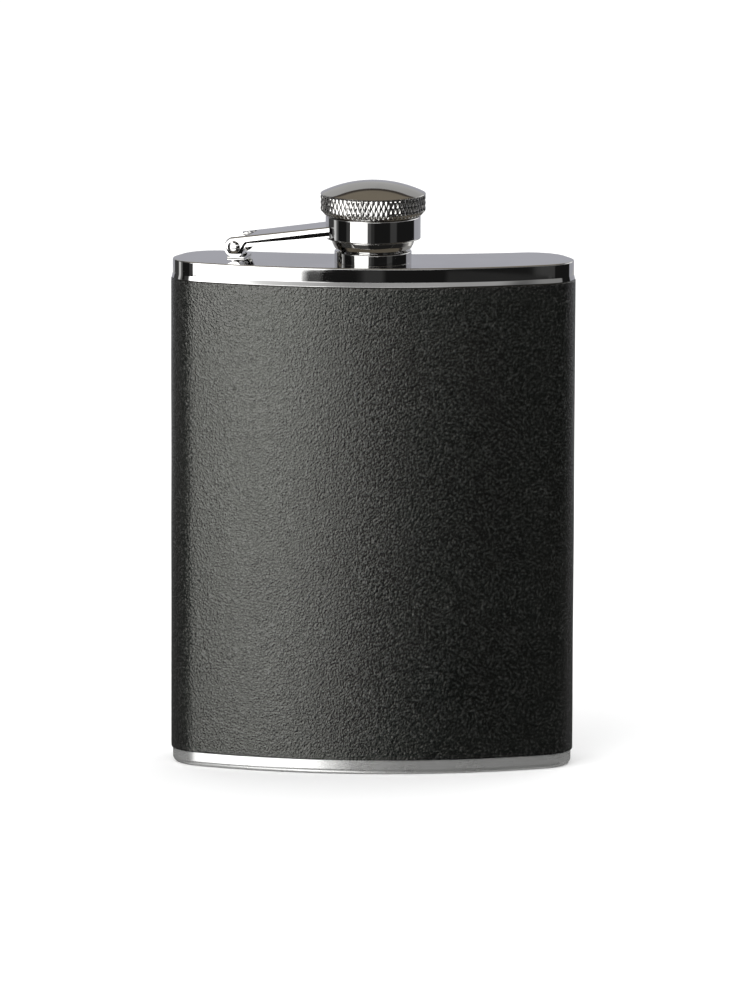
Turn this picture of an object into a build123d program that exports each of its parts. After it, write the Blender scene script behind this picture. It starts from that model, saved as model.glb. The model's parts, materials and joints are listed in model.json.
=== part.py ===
"""Hip flask: a curved steel bottle in a leather wrap, with a screw cap held by a hinged arm.

Frame: millimetres, +Z up. The origin is on the resting face, under the axis of the neck.
X runs across the width. The convex front faces -Y and the hollow back, worn to the hip, faces +Y.
"""
from build123d import *
from math import asin, atan2, cos, degrees, hypot, sin, sqrt
import os

# --- Bottle: kidney section -------------------------------------------------------------------
STEEL_DEPTH = 24.0          # front to back on the centre line
FRONT_RADIUS = 110.0        # bow of the convex front
BACK_RADIUS = 150.0         # flatter bow of the hollow back
FRONT_CORNER_X = 50.12      # half width at the sharp front corner, before rounding
BACK_CORNER_X = 42.2        # half width at the sharp back corner, before rounding
END_RADIUS = 8.8            # rounding of the four upright corners

# --- Bottle: heights and walls ----------------------------------------------------------------
PLATE_Z = 121.0             # upper face of the top plate
PLATE_THICKNESS = 0.8
SKIRT_HEIGHT = 3.4          # straight mirror band of the top plate
SHOULDER_HEIGHT = 1.1       # flared band under the skirt
SHOULDER_FLARE = 0.25
BASE_HEIGHT = 3.4           # bare steel band at the foot
BASE_FLOOR = 0.8
BASE_EDGE_RADIUS = 1.3
RIM_EDGE_RADIUS = 0.35
PLATE_WALL = 1.0            # wall of the drawn top and base plates
LEATHER_THICKNESS = 0.8
LEATHER_PROUD = 0.4         # how far the leather stands out past the steel
SHELL_WALL = 0.6
LEATHER_EDGE_RADIUS = 0.25

# --- Neck, heights above the top plate --------------------------------------------------------
NECK_COLLAR_RADIUS = 9.1
NECK_COLLAR_TOP = 2.66
NECK_TOP = 9.65
NECK_BORE_RADIUS = 6.0
NECK_ROOT_RADIUS = 6.8
NECK_CREST_RADIUS = 7.15
SPIGOT_RADIUS = 8.0         # the neck's tail, through the hole in the plate
SPIGOT_FLANGE_RADIUS = 9.2
THREAD_PITCH = 2.0
THREAD_ROOT_WIDTH = 1.3
THREAD_CREST_WIDTH = 0.4
THREAD_TURNS = 3
NECK_FIRST_TURN = 4.3
NECK_EDGE = 0.3
SPOUT_EDGE = 0.25

# --- Hinge lug and pin ------------------------------------------------------------------------
HINGE_X = -31.75
HINGE_Y = 6.4
PIN_HEIGHT = 2.95           # pin axis above the top plate
PIN_RADIUS = 0.8
PIN_HEAD_RADIUS = 1.5
PIN_HEAD_HEIGHT = 0.55
PIN_HEAD_ROUNDING = 0.45
PIN_CLEARANCE = 0.05
LUG_WIDTH = 7.6             # along the pin
LUG_EYE_RADIUS = 1.7
LUG_STEM_WIDTH = 1.7
LUG_FOOT_WIDTH = 4.2
LUG_FOOT_HEIGHT = 0.45

# --- Arm, heights above the pin axis ----------------------------------------------------------
ARM_EAR_RADIUS = 2.4
ARM_TOP_AT_PIN = 2.35
ARM_TOP_AT_COLLAR = 5.45
ARM_FLANGE_HEIGHT = 2.6
ARM_WIDTH_AT_PIN = 10.9
ARM_WIDTH_AT_COLLAR = 12.9
ARM_SHEET = 0.8
ARM_BEND_RADIUS = 0.5
WEB_UPRIGHTNESS = 0.9       # only the web's face turns up this squarely
NOTCH_WIDTH = 8.5
NOTCH_REACH = 3.5           # notch end, from the pin towards the neck

# --- Swivel collar, heights above the top plate -----------------------------------------------
COLLAR_RADIUS = 11.2
COLLAR_WALL = 0.8
COLLAR_BOTTOM = 5.56
COLLAR_TOP = 10.98
COLLAR_HOLE_RADIUS = 8.95
COLLAR_EDGE_RADIUS = 0.4

# --- Cap, heights above the top plate when it is screwed down ---------------------------------
HEAD_RADIUS = 12.4
HEAD_UNDERSIDE_RADIUS = 11.3
HEAD_BOTTOM = 11.1
KNURL_BOTTOM = 12.17
HEAD_RIM = 16.26
DOME_TOP = 19.13
HEAD_WALL = 0.9
HEAD_FLOOR = 0.95
HEAD_EDGE_RADIUS = 0.25
SLEEVE_RADIUS = 8.6
SLEEVE_ROOT_RADIUS = 8.15
SLEEVE_CREST_RADIUS = 7.75
SLEEVE_CEILING = 11.35
SLEEVE_TOP = 12.15
LIP_RADIUS = 9.85
LIP_FOOT_RADIUS = 9.0
LIP_BOTTOM = 3.26
LIP_EDGE = 3.73
LIP_SHOULDER = 5.4
LIP_ROOT = 6.1
LIP_EDGE_RADIUS = 0.3
SLEEVE_FIRST_TURN = 4.6
GASKET_RADIUS = 7.8
GASKET_BOTTOM = 9.7
GASKET_TOP = 11.3
GASKET_EDGE = 0.2

# --- Derived values ---------------------------------------------------------------------------
BODY_TOP = PLATE_Z - SKIRT_HEIGHT - SHOULDER_HEIGHT
SHOULDER_TOP = PLATE_Z - SKIRT_HEIGHT
LEATHER_INNER = LEATHER_PROUD - LEATHER_THICKNESS
SHELL_INNER = LEATHER_INNER - SHELL_WALL
ARM_LENGTH = hypot(HINGE_X, HINGE_Y)
ARM_ANGLE = atan2(-HINGE_Y, -HINGE_X)
ARM_REACH = ARM_LENGTH - COLLAR_RADIUS
ARM_SLOPE = (ARM_TOP_AT_COLLAR - ARM_TOP_AT_PIN) / ARM_REACH
ARM_SPREAD = (ARM_WIDTH_AT_COLLAR - ARM_WIDTH_AT_PIN) / 2 / ARM_REACH
PIN_HALF_LENGTH = ARM_WIDTH_AT_PIN / 2 + ARM_SPREAD * PIN_HEAD_RADIUS
ARM_AXIS = Vector(cos(ARM_ANGLE), sin(ARM_ANGLE), 0)
PIN_AXIS = Vector(sin(ARM_ANGLE), -cos(ARM_ANGLE), 0)
HINGE_PLANE = Plane(origin=(HINGE_X, HINGE_Y, PLATE_Z + PIN_HEIGHT), x_dir=ARM_AXIS, z_dir=PIN_AXIS)
PIN_LINE = Axis((HINGE_X, HINGE_Y, PLATE_Z + PIN_HEIGHT), PIN_AXIS)
ARM_PLAN = Plane(origin=(HINGE_X, HINGE_Y, PLATE_Z), x_dir=ARM_AXIS, z_dir=(0, 0, 1))
DOME_HEIGHT = DOME_TOP - HEAD_RIM
DOME_RADIUS = (HEAD_RADIUS**2 + DOME_HEIGHT**2) / (2 * DOME_HEIGHT)
DOME_CENTRE = DOME_TOP - DOME_RADIUS
NECK_PLANE = Plane(origin=(0, 0, PLATE_Z), x_dir=(1, 0, 0), z_dir=(0, -1, 0))

os.makedirs("parts", exist_ok=True)


def kidney(grow=0.0):
    """The bottle's cross-section in steel, grown outwards by grow or shrunk where it is negative."""
    half_depth = STEEL_DEPTH / 2
    front_bow = FRONT_RADIUS - sqrt(FRONT_RADIUS**2 - FRONT_CORNER_X**2)
    back_bow = BACK_RADIUS - sqrt(BACK_RADIUS**2 - BACK_CORNER_X**2)
    front_corner = (FRONT_CORNER_X, front_bow - half_depth)
    back_corner = (BACK_CORNER_X, back_bow + half_depth)
    with BuildSketch() as section:
        with BuildLine():
            ThreePointArc((-front_corner[0], front_corner[1]), (0, -half_depth), front_corner)
            Line(front_corner, back_corner)
            ThreePointArc(back_corner, (0, half_depth), (-back_corner[0], back_corner[1]))
            Line((-back_corner[0], back_corner[1]), (-front_corner[0], front_corner[1]))
        make_face()
        fillet(section.vertices(), radius=END_RADIUS)
        if grow:
            offset(amount=grow, mode=Mode.REPLACE)
    return section.sketch


def arm_side(top_drop, ear_radius, height):
    """Side view of the arm on the hinge plane: a sloping band and an ear, cut by the web's slope."""
    far_top = ARM_TOP_AT_PIN - top_drop + ARM_SLOPE * ARM_LENGTH
    near_top = ARM_TOP_AT_PIN - top_drop - ARM_SLOPE * ARM_LENGTH
    with BuildSketch(HINGE_PLANE) as side:
        Circle(ear_radius)
        with BuildLine():
            Polyline(
                (0, ARM_TOP_AT_PIN - top_drop),
                (ARM_LENGTH, far_top),
                (ARM_LENGTH, far_top - height),
                (0, ARM_TOP_AT_PIN - top_drop - height),
                close=True,
            )
        make_face()
        with BuildLine():
            Polyline(
                (-ARM_LENGTH, near_top),
                (ARM_LENGTH, far_top),
                (ARM_LENGTH, ARM_LENGTH),
                (-ARM_LENGTH, ARM_LENGTH),
                close=True,
            )
        make_face(mode=Mode.SUBTRACT)
    return side.sketch


def arm_plan(inset):
    """Plan view of the arm, widening evenly from beyond the pin to the axis of the neck."""
    start = -2 * ARM_EAR_RADIUS
    near = ARM_WIDTH_AT_PIN / 2 + ARM_SPREAD * start - inset
    far = ARM_WIDTH_AT_PIN / 2 + ARM_SPREAD * ARM_LENGTH - inset
    with BuildSketch(ARM_PLAN) as plan:
        with BuildLine():
            Polyline((start, -near), (ARM_LENGTH, -far), (ARM_LENGTH, far), (start, near), close=True)
        make_face()
    return plan.sketch


def thread_rings(root_radius, crest_radius, first, count):
    """Half section of ring-shaped thread turns, one pitch apart from the height first upwards."""
    with BuildSketch(NECK_PLANE) as rings:
        for turn in range(count):
            middle = first + turn * THREAD_PITCH
            with BuildLine():
                Polyline(
                    (root_radius, middle - THREAD_ROOT_WIDTH / 2),
                    (crest_radius, middle - THREAD_CREST_WIDTH / 2),
                    (crest_radius, middle + THREAD_CREST_WIDTH / 2),
                    (root_radius, middle + THREAD_ROOT_WIDTH / 2),
                    close=True,
                )
            make_face()
    return rings.sketch


# --- Base plate: a drawn tray with a rounded lower edge ---------------------------------------
with BuildPart() as base_plate:
    with BuildSketch():
        add(kidney())
    extrude(amount=BASE_HEIGHT)
    fillet(base_plate.faces().sort_by(Axis.Z)[0].edges(), radius=BASE_EDGE_RADIUS)
    with BuildSketch(Plane.XY.offset(BASE_FLOOR)):
        add(kidney(-PLATE_WALL))
    extrude(amount=BASE_HEIGHT, mode=Mode.SUBTRACT)

base_plate.part.label = "base_plate"
export_step(base_plate.part, "parts/base_plate.step")

# --- Body shell: the tube between the two plates ----------------------------------------------
with BuildPart() as body_shell:
    with BuildSketch(Plane.XY.offset(BASE_HEIGHT)):
        add(kidney(LEATHER_INNER))
        add(kidney(SHELL_INNER), mode=Mode.SUBTRACT)
    extrude(amount=BODY_TOP - BASE_HEIGHT)

body_shell.part.label = "body_shell"
export_step(body_shell.part, "parts/body_shell.step")

# --- Top plate: flat top, mirror skirt and a flared shoulder over the leather's edge -----------
with BuildPart() as top_plate:
    with BuildSketch(Plane.XY.offset(SHOULDER_TOP)):
        add(kidney())
    extrude(amount=SKIRT_HEIGHT)
    fillet(top_plate.faces().sort_by(Axis.Z)[-1].edges(), radius=RIM_EDGE_RADIUS)
    with BuildSketch(Plane.XY.offset(BODY_TOP)):
        add(kidney(SHOULDER_FLARE))
    with BuildSketch(Plane.XY.offset(SHOULDER_TOP)):
        add(kidney())
    loft(ruled=True)
    with BuildSketch(Plane.XY.offset(BODY_TOP)):
        add(kidney(-PLATE_WALL))
    extrude(amount=PLATE_Z - PLATE_THICKNESS - BODY_TOP, mode=Mode.SUBTRACT)
    with BuildSketch(Plane.XY.offset(PLATE_Z - PLATE_THICKNESS)):
        Circle(SPIGOT_RADIUS)
    extrude(amount=PLATE_THICKNESS, mode=Mode.SUBTRACT)

top_plate.part.label = "top_plate"
export_step(top_plate.part, "parts/top_plate.step")

# --- Leather wrap: a closed sleeve round the body shell ----------------------------------------
with BuildPart() as leather_wrap:
    with BuildSketch(Plane.XY.offset(BASE_HEIGHT)):
        add(kidney(LEATHER_PROUD))
    extrude(amount=BODY_TOP - BASE_HEIGHT)
    end_faces = leather_wrap.faces().filter_by(Axis.Z)
    fillet(end_faces.edges(), radius=LEATHER_EDGE_RADIUS)
    with BuildSketch(Plane.XY.offset(BASE_HEIGHT)):
        add(kidney(LEATHER_INNER))
    extrude(amount=BODY_TOP - BASE_HEIGHT, mode=Mode.SUBTRACT)

leather_wrap.part.label = "leather_wrap"
export_step(leather_wrap.part, "parts/leather_wrap.step")

# --- Neck: plain collar, threaded spout and the flange that holds it in the plate --------------
with BuildPart() as neck:
    with BuildSketch(NECK_PLANE):
        with BuildLine():
            Polyline(
                (NECK_BORE_RADIUS, -2 * PLATE_THICKNESS),
                (SPIGOT_FLANGE_RADIUS, -2 * PLATE_THICKNESS),
                (SPIGOT_FLANGE_RADIUS, -PLATE_THICKNESS),
                (SPIGOT_RADIUS, -PLATE_THICKNESS),
                (SPIGOT_RADIUS, 0),
                (NECK_COLLAR_RADIUS, 0),
                (NECK_COLLAR_RADIUS, NECK_COLLAR_TOP),
                (NECK_ROOT_RADIUS, NECK_COLLAR_TOP),
                (NECK_ROOT_RADIUS, NECK_TOP),
                (NECK_BORE_RADIUS, NECK_TOP),
                close=True,
            )
        make_face()
    revolve(axis=Axis.Z)
    collar_rims = neck.edges().filter_by_position(
        Axis.Z, PLATE_Z + NECK_COLLAR_TOP, PLATE_Z + NECK_COLLAR_TOP
    )
    chamfer(collar_rims.sort_by(SortBy.RADIUS)[-1], length=NECK_EDGE)
    spout_rims = neck.faces().sort_by(Axis.Z)[-1].edges()
    chamfer(spout_rims, length=SPOUT_EDGE)
    neck_turns = thread_rings(NECK_ROOT_RADIUS, NECK_CREST_RADIUS, NECK_FIRST_TURN, THREAD_TURNS)
    revolve(neck_turns, axis=Axis.Z)

neck.part.label = "neck"
export_step(neck.part, "parts/neck.step")

# --- Hinge post: a lug with an eye for the pin, on a small foot --------------------------------
with BuildPart() as hinge_post:
    with BuildSketch(HINGE_PLANE):
        Circle(LUG_EYE_RADIUS)
        with Locations((0, -PIN_HEIGHT / 2)):
            Rectangle(LUG_STEM_WIDTH, PIN_HEIGHT)
        with Locations((0, LUG_FOOT_HEIGHT / 2 - PIN_HEIGHT)):
            Rectangle(LUG_FOOT_WIDTH, LUG_FOOT_HEIGHT)
        Circle(PIN_RADIUS + PIN_CLEARANCE, mode=Mode.SUBTRACT)
    extrude(amount=LUG_WIDTH / 2, both=True)
    foot_joint = hinge_post.edges().filter_by_position(
        Axis.Z, PLATE_Z + LUG_FOOT_HEIGHT, PLATE_Z + LUG_FOOT_HEIGHT
    )
    stem_sides = foot_joint.sort_by_distance((HINGE_X, HINGE_Y, PLATE_Z + LUG_FOOT_HEIGHT))[:2]
    fillet(stem_sides, radius=LUG_FOOT_HEIGHT)

hinge_post.part.label = "hinge_post"
export_step(hinge_post.part, "parts/hinge_post.step")

# --- Channel core: the hollow under the arm's web, taken out of the arm -------------------------
with BuildPart() as channel_core:
    hollow_side = arm_side(ARM_SHEET, 2 * ARM_EAR_RADIUS, 2 * ARM_FLANGE_HEIGHT)
    extrude(hollow_side, amount=ARM_WIDTH_AT_COLLAR, both=True)
    extrude(arm_plan(ARM_SHEET), amount=PLATE_Z, mode=Mode.INTERSECT)

# --- Link arm: pressed channel, round ears at the pin, hollow end fitted round the collar -------
with BuildPart() as link_arm:
    extrude(arm_side(0, ARM_EAR_RADIUS, ARM_FLANGE_HEIGHT), amount=ARM_WIDTH_AT_COLLAR, both=True)
    extrude(arm_plan(0), amount=PLATE_Z, mode=Mode.INTERSECT)
    web_face = link_arm.faces().filter_by(lambda face: face.normal_at().Z > WEB_UPRIGHTNESS)
    fillet(web_face.edges().filter_by(PIN_LINE, reverse=True), radius=ARM_BEND_RADIUS)
    add(channel_core.part, mode=Mode.SUBTRACT)
    with BuildSketch(ARM_PLAN):
        with Locations(((NOTCH_REACH - 2 * ARM_EAR_RADIUS) / 2, 0)):
            Rectangle(NOTCH_REACH + 2 * ARM_EAR_RADIUS, NOTCH_WIDTH)
    extrude(amount=PLATE_Z, mode=Mode.SUBTRACT)
    with BuildSketch(HINGE_PLANE):
        Circle(PIN_RADIUS)
    extrude(amount=ARM_WIDTH_AT_COLLAR, both=True, mode=Mode.SUBTRACT)
    with BuildSketch(Plane.XY.offset(PLATE_Z)):
        Circle(COLLAR_RADIUS)
    extrude(amount=PLATE_Z, mode=Mode.SUBTRACT)

link_arm.part.label = "link_arm"
export_step(link_arm.part, "parts/link_arm.step")

# --- Hinge pin: a shank through ears and lug, with a rounded rivet head at each end -------------
with BuildPart() as hinge_pin:
    with BuildSketch(HINGE_PLANE):
        Circle(PIN_RADIUS)
    extrude(amount=PIN_HALF_LENGTH, both=True)
    for side in (1, -1):
        with BuildSketch(HINGE_PLANE.offset(side * PIN_HALF_LENGTH)):
            Circle(PIN_HEAD_RADIUS)
        extrude(amount=side * PIN_HEAD_HEIGHT)
    head_faces = hinge_pin.faces().sort_by(PIN_LINE)
    fillet(head_faces[0].edges() + head_faces[-1].edges(), radius=PIN_HEAD_ROUNDING)

hinge_pin.part.label = "hinge_pin"
export_step(hinge_pin.part, "parts/hinge_pin.step")

# --- Swivel collar: a drawn ring with an inward flange, loose between the cap's head and lip -----
with BuildPart() as swivel_collar:
    with BuildSketch(NECK_PLANE):
        with BuildLine():
            Polyline(
                (COLLAR_RADIUS - COLLAR_WALL, COLLAR_BOTTOM),
                (COLLAR_RADIUS, COLLAR_BOTTOM),
                (COLLAR_RADIUS, COLLAR_TOP),
                (COLLAR_HOLE_RADIUS, COLLAR_TOP),
                (COLLAR_HOLE_RADIUS, COLLAR_TOP - COLLAR_WALL),
                (COLLAR_RADIUS - COLLAR_WALL, COLLAR_TOP - COLLAR_WALL),
                close=True,
            )
        make_face()
    revolve(axis=Axis.Z)
    collar_top_edges = swivel_collar.faces().sort_by(Axis.Z)[-1].edges()
    fillet(collar_top_edges.sort_by(SortBy.RADIUS)[-1], radius=COLLAR_EDGE_RADIUS)

swivel_collar.part.label = "swivel_collar"
export_step(swivel_collar.part, "parts/swivel_collar.step")

# --- Cap sleeve: threaded cup with a flared lip that keeps the collar on ------------------------
with BuildPart() as cap_sleeve:
    with BuildSketch(NECK_PLANE):
        with BuildLine():
            Polyline(
                (SLEEVE_ROOT_RADIUS, LIP_BOTTOM),
                (LIP_FOOT_RADIUS, LIP_BOTTOM),
                (LIP_RADIUS, LIP_EDGE),
                (LIP_RADIUS, LIP_SHOULDER),
                (SLEEVE_RADIUS, LIP_ROOT),
                (SLEEVE_RADIUS, SLEEVE_TOP),
                (0, SLEEVE_TOP),
                (0, SLEEVE_CEILING),
                (SLEEVE_ROOT_RADIUS, SLEEVE_CEILING),
                close=True,
            )
        make_face()
    revolve(axis=Axis.Z)
    lip_edges = cap_sleeve.edges().filter_by(GeomType.CIRCLE).sort_by(SortBy.RADIUS)[-2:]
    fillet(lip_edges, radius=LIP_EDGE_RADIUS)
    sleeve_turns = thread_rings(SLEEVE_ROOT_RADIUS, SLEEVE_CREST_RADIUS, SLEEVE_FIRST_TURN, THREAD_TURNS)
    revolve(sleeve_turns, axis=Axis.Z)

cap_sleeve.part.label = "cap_sleeve"
export_step(cap_sleeve.part, "parts/cap_sleeve.step")

# --- Cap shell: hollow head with a plain band for the knurl and a shallow dome ------------------
with BuildPart() as cap_shell:
    outer_angle = degrees(asin(HEAD_RADIUS / DOME_RADIUS))
    inner_radius = HEAD_RADIUS - HEAD_WALL
    inner_dome = DOME_RADIUS - HEAD_WALL
    inner_angle = degrees(asin(inner_radius / inner_dome))
    with BuildSketch(NECK_PLANE):
        with BuildLine():
            roof = CenterArc((0, DOME_CENTRE), DOME_RADIUS, 90 - outer_angle, outer_angle)
            ceiling = CenterArc((0, DOME_CENTRE), inner_dome, 90 - inner_angle, inner_angle)
            Line(roof @ 1, ceiling @ 1)
            Polyline(
                ceiling @ 0,
                (inner_radius, HEAD_BOTTOM + HEAD_FLOOR),
                (SLEEVE_RADIUS, HEAD_BOTTOM + HEAD_FLOOR),
                (SLEEVE_RADIUS, HEAD_BOTTOM),
                (HEAD_UNDERSIDE_RADIUS, HEAD_BOTTOM),
                (HEAD_RADIUS, KNURL_BOTTOM),
                roof @ 0,
            )
        make_face()
    revolve(axis=Axis.Z)
    head_rim = cap_shell.edges().filter_by_position(Axis.Z, PLATE_Z + HEAD_RIM, PLATE_Z + HEAD_RIM)
    fillet(head_rim.sort_by(SortBy.RADIUS)[-1], radius=HEAD_EDGE_RADIUS)

cap_shell.part.label = "cap_shell"
export_step(cap_shell.part, "parts/cap_shell.step")

# --- Gasket: soft disc in the roof of the cap, on the rim of the neck ---------------------------
with BuildPart() as gasket:
    with BuildSketch(NECK_PLANE):
        with BuildLine():
            Polyline(
                (0, GASKET_BOTTOM),
                (GASKET_RADIUS, GASKET_BOTTOM),
                (GASKET_RADIUS, GASKET_TOP),
                (0, GASKET_TOP),
                close=True,
            )
        make_face()
    revolve(axis=Axis.Z)
    chamfer(gasket.edges().filter_by(GeomType.CIRCLE), length=GASKET_EDGE)

gasket.part.label = "gasket"
export_step(gasket.part, "parts/gasket.step")
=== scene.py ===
"""Looks of the hip flask: polished steel, a knurled cap, real threads and a grained leather wrap.

Lengths are in millimetres, and each mesh is turned into metres as it is made; the camera, the
lights and the grain of the materials are in metres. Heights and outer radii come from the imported
model's boxes, and every piece stands where its CAD node stands.
"""
import json
from math import asin, atan2, cos, hypot, pi, radians, sin, sqrt, tau

import bmesh
import bpy
from mathutils import Matrix, Vector, noise


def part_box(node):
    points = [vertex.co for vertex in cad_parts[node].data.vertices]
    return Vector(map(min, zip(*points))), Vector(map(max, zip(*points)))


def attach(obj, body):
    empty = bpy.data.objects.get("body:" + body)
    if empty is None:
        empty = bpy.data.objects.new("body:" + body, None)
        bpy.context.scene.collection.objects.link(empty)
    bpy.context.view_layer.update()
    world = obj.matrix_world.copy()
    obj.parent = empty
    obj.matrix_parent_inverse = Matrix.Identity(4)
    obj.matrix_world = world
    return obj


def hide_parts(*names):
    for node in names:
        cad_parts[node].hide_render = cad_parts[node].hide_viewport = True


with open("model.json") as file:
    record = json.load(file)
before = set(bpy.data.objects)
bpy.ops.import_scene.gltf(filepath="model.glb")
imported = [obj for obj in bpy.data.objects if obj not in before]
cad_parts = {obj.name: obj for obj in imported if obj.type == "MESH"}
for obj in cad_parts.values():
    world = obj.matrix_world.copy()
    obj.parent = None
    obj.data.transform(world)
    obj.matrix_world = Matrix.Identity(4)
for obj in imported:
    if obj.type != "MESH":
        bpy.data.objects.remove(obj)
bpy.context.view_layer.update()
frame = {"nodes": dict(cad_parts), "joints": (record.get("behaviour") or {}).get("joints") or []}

MM = 0.001
TINY = 1e-6

# --- The bottle's section, as in the CAD model -------------------------------------------------
STEEL_DEPTH = 24.0
FRONT_RADIUS = 110.0
BACK_RADIUS = 150.0
FRONT_CORNER_X = 50.12
BACK_CORNER_X = 42.2
END_RADIUS = 8.8
OUTLINE_STEP = 0.8

# --- Walls and edges ---------------------------------------------------------------------------
PLATE_WALL = 1.0
PLATE_THICKNESS = 0.8
SKIRT_HEIGHT = 3.4
SHOULDER_FLARE = 0.25
RIM_EDGE = 0.35
BASE_EDGE = 1.3
LEATHER_PROUD = 0.4
LEATHER_THICKNESS = 0.8
LEATHER_EDGE = 0.3
LEATHER_STEP = 0.9
LEATHER_ROW = 1.1
LEATHER_SAG = 0.05          # how unevenly the leather lies on the steel
SAG_SCALE = 0.045           # features of that unevenness in a millimetre
LEATHER_SWELL = 0.1         # the most that it stands off its even shape
CUT_WANDER = 0.12           # how far the cut edges wander
CUT_SCALE = 0.11            # features of that wander in a millimetre
CUT_SLICE = 7.0             # the slice of the noise that they follow
CUT_BAND = 1.0              # height of the band that wanders with a cut edge
SEAM_DEPTH = 0.3
SEAM_WIDTH = 0.35
SEAM_LIP = 0.07             # how far the leather swells on both sides of the seam
SEAM_COLUMNS = (0.12, 0.25, 0.4, 0.6, 0.85, 1.2)
SEAM_CLEARING = 1.5         # nearer the seam than this, its columns replace the outline's points
FAR_FROM_SEAM = SEAM_WIDTH * 50
SUPPORT = 0.05              # distance of the edge loops that keep flat faces flat

# --- Neck and cap ------------------------------------------------------------------------------
NECK_COLLAR_HEIGHT = 2.66
NECK_COLLAR_RADIUS = 9.1
NECK_ROOT = 6.8
NECK_CREST = 7.15
BORE_RADIUS = 6.0
SPIGOT_RADIUS = 8.0
THREAD_PITCH = 2.0
THREAD_HEIGHT = 1.35        # above 1, so that the crests are flat
THREAD_SLOPE = 4.2
THREAD_RUNOUT = 0.6
THREAD_ROW = 0.11
THREAD_SEGMENTS = 144
BAND_SEGMENTS = 192
SEAL_SEGMENTS = 96
COLLAR_HOLE_RADIUS = 8.95
COLLAR_WALL = 0.8
SLEEVE_RADIUS = 8.6
SLEEVE_ROOT = 8.15
SLEEVE_CREST = 7.75
SLEEVE_ROOF = 0.8
LIP_FOOT_RADIUS = 9.0
LIP_HEIGHT = 2.14
LIP_SHOULDER_HEIGHT = 2.84
HEAD_UNDERSIDE_RADIUS = 11.3
HEAD_WALL = 0.9
HEAD_CHAMFER = 1.07
KNURL_HEIGHT = 3.89
RIM_HEIGHT = 0.2
KNURL_DEPTH = 0.26
KNURL_LINES = 66
KNURL_SAMPLES = 16
KNURL_ANGLE = radians(24)
KNURL_START = 0.25          # above the head's underside
KNURL_RUNOUT = 0.16
RIM_ROUNDING = ((0, -0.16), (0.02, -0.1), (0.08, 0.01), (0.2, 0.08))     # inwards and up
RIM_WIDTH = 0.3
DOME_STEPS = 18

# --- Arm and pin -------------------------------------------------------------------------------
ARM_EAR_RADIUS = 2.4
ARM_TOP_AT_PIN = 2.35
ARM_TOP_AT_COLLAR = 5.45
ARM_FLANGE_HEIGHT = 2.6
ARM_HALF_WIDTH = 5.45
ARM_HALF_WIDTH_AT_COLLAR = 6.45
ARM_SHEET = 0.8
ARM_BEND = 0.5
ARM_CROWN = 0.045           # how far the flanges draw in towards their feet
ARM_EDGE = 0.1
ARM_STEP = 0.05             # of the way from the notch to the collar
EAR_STEPS = 16
EAR_SHARE = 0.99
FLANGE_ROWS = 8
BEND_ROWS = 5
WEB_ROWS = 8
WEB_MARGIN = 0.1
NOTCH_HALF_WIDTH = 4.25
NOTCH_STATIONS = (2.7, 3.1)
NOTCH_REACH = 3.5
LUG_EDGE = 0.12
PIN_RADIUS = 0.8
PIN_HEAD_RADIUS = 1.5
PIN_HEAD_HEIGHT = 0.55
PIN_SEGMENTS = 48

# --- Grain of the materials, in features to a metre; reliefs are (metres, strength) ------------
CLOUDS = 70
SMUDGES = 160
RIPPLE = 38
RIPPLE_RELIEF = (2e-5, 0.25)
HAIRLINES = (900, 900, 9000)
HAIRLINE_RELIEF = (3e-7, 0.3)
BRUSHING = (60, 60, 5200)
BRUSHED_RELIEF = (6e-6, 0.5)
BRUSHED_CLOUDS = 90
BLOOM = 420
RUBBER_GRAIN = 6000
RUBBER_RELIEF = (1e-5, 0.5)
WARP = 800
WARP_REACH = 0.00025        # metres by which the leather's cells are pushed out of shape
PEBBLES = 1500
PEBBLE_RELIEF = (4e-5, 0.9)
CREASES = 3900
CREASE_RELIEF = (1.5e-5, 0.6)
WRINKLES = 1900
WRINKLE_RELIEF = (1.85e-4, 0.9)
PORES = 5200
PORE_RELIEF = (8e-6, 0.6)
PATCHES = 55
VALLEY_SHADE_DEPTH = 0.55         # painted shade: how far the valleys between pebbles are darkened towards the near-black below
# Painted shade: the near-black that the valleys between pebbles are darkened to.
VALLEY_PAINTED_SHADE = (0.0008, 0.0008, 0.0008)
# Painted highlight: the light colour that the tips of the wrinkles are lifted to, standing in for
# glints of light on the grain.
PAINTED_TIP_HIGHLIGHT = (0.033, 0.0333, 0.032)


def low(node):
    """Lowest height of a CAD node, in millimetres."""
    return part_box(node)[0][2] / MM


def high(node):
    """Highest height of a CAD node, in millimetres."""
    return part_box(node)[1][2] / MM


def reach(node):
    """Radius of a round CAD node about the axis of the neck, in millimetres."""
    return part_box(node)[1][0] / MM


PLATE_Z = high("top_plate")
BODY_TOP = high("leather_wrap")
BASE_TOP = low("leather_wrap")


# --- Node helpers ------------------------------------------------------------------------------
def add(tree, kind, inputs=None, **settings):
    """A shader node with its settings, its constants and its links."""
    made = tree.nodes.new(kind)
    for key, value in settings.items():
        setattr(made, key, value)
    for key, value in (inputs or {}).items():
        if isinstance(value, bpy.types.NodeSocket):
            tree.links.new(value, made.inputs[key])
        else:
            made.inputs[key].default_value = value
    return made


def principled(name, **constants):
    """A material holding one Principled shader, with its tree and that shader."""
    material = bpy.data.materials.new(name)
    material.use_nodes = True
    tree = material.node_tree
    shader = tree.nodes["Principled BSDF"]
    for key, value in constants.items():
        shader.inputs[key.replace("_", " ")].default_value = value
    return material, tree, shader


def place(tree, scale=(1, 1, 1)):
    """Object coordinates in metres, stretched by scale."""
    coordinates = add(tree, "ShaderNodeTexCoord")
    inputs = {"Vector": coordinates.outputs["Object"], "Scale": scale}
    return add(tree, "ShaderNodeMapping", inputs).outputs["Vector"]


def grain(tree, vector, scale, detail=2.0, roughness=0.5):
    """Noise of about one feature per 1 / scale metres."""
    inputs = {"Vector": vector, "Scale": scale, "Detail": detail, "Roughness": roughness}
    return add(tree, "ShaderNodeTexNoise", inputs).outputs["Fac"]


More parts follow.
